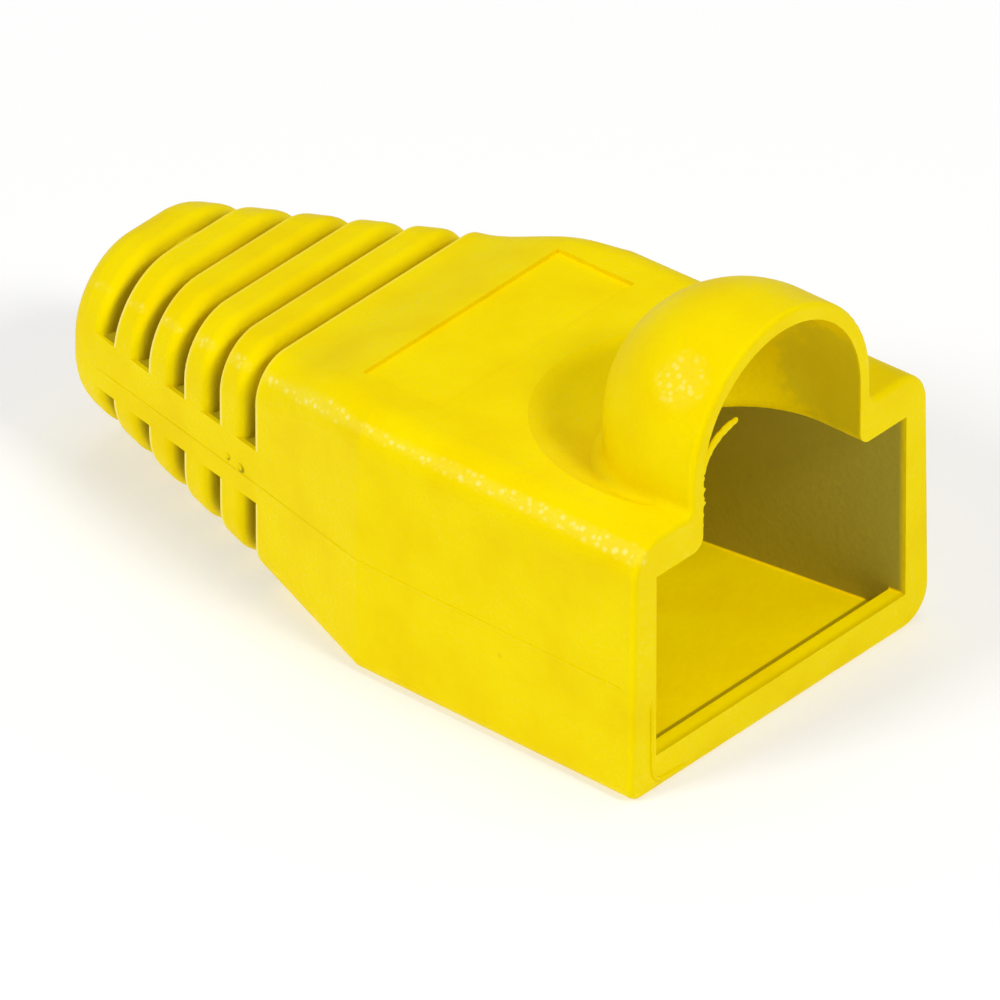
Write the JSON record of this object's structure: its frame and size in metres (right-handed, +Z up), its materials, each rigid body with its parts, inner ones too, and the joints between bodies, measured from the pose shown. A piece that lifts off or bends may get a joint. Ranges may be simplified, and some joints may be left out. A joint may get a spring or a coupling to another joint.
{
  "type": "cable strain relief boot",
  "caption": "Soft moulded boot for a modular network plug: open box with a latch hood, and a ribbed, slotted tail that flexes round the cable.",
  "frame": {"origin": "middle of the footprint, on the surface that the boot's flat underside rests on", "axes": "+Z up through the hood, +Y from the plug mouth to the cable tail, X across the plug"},
  "size_m": [0.0142, 0.026, 0.0143],
  "materials": {
    "soft_plastic": "yellow soft plastic, satin, with a fine moulded grain"
  },
  "bodies": {
    "root": {"strain_relief_boot": "soft_plastic"}
  },
  "joints": []
}
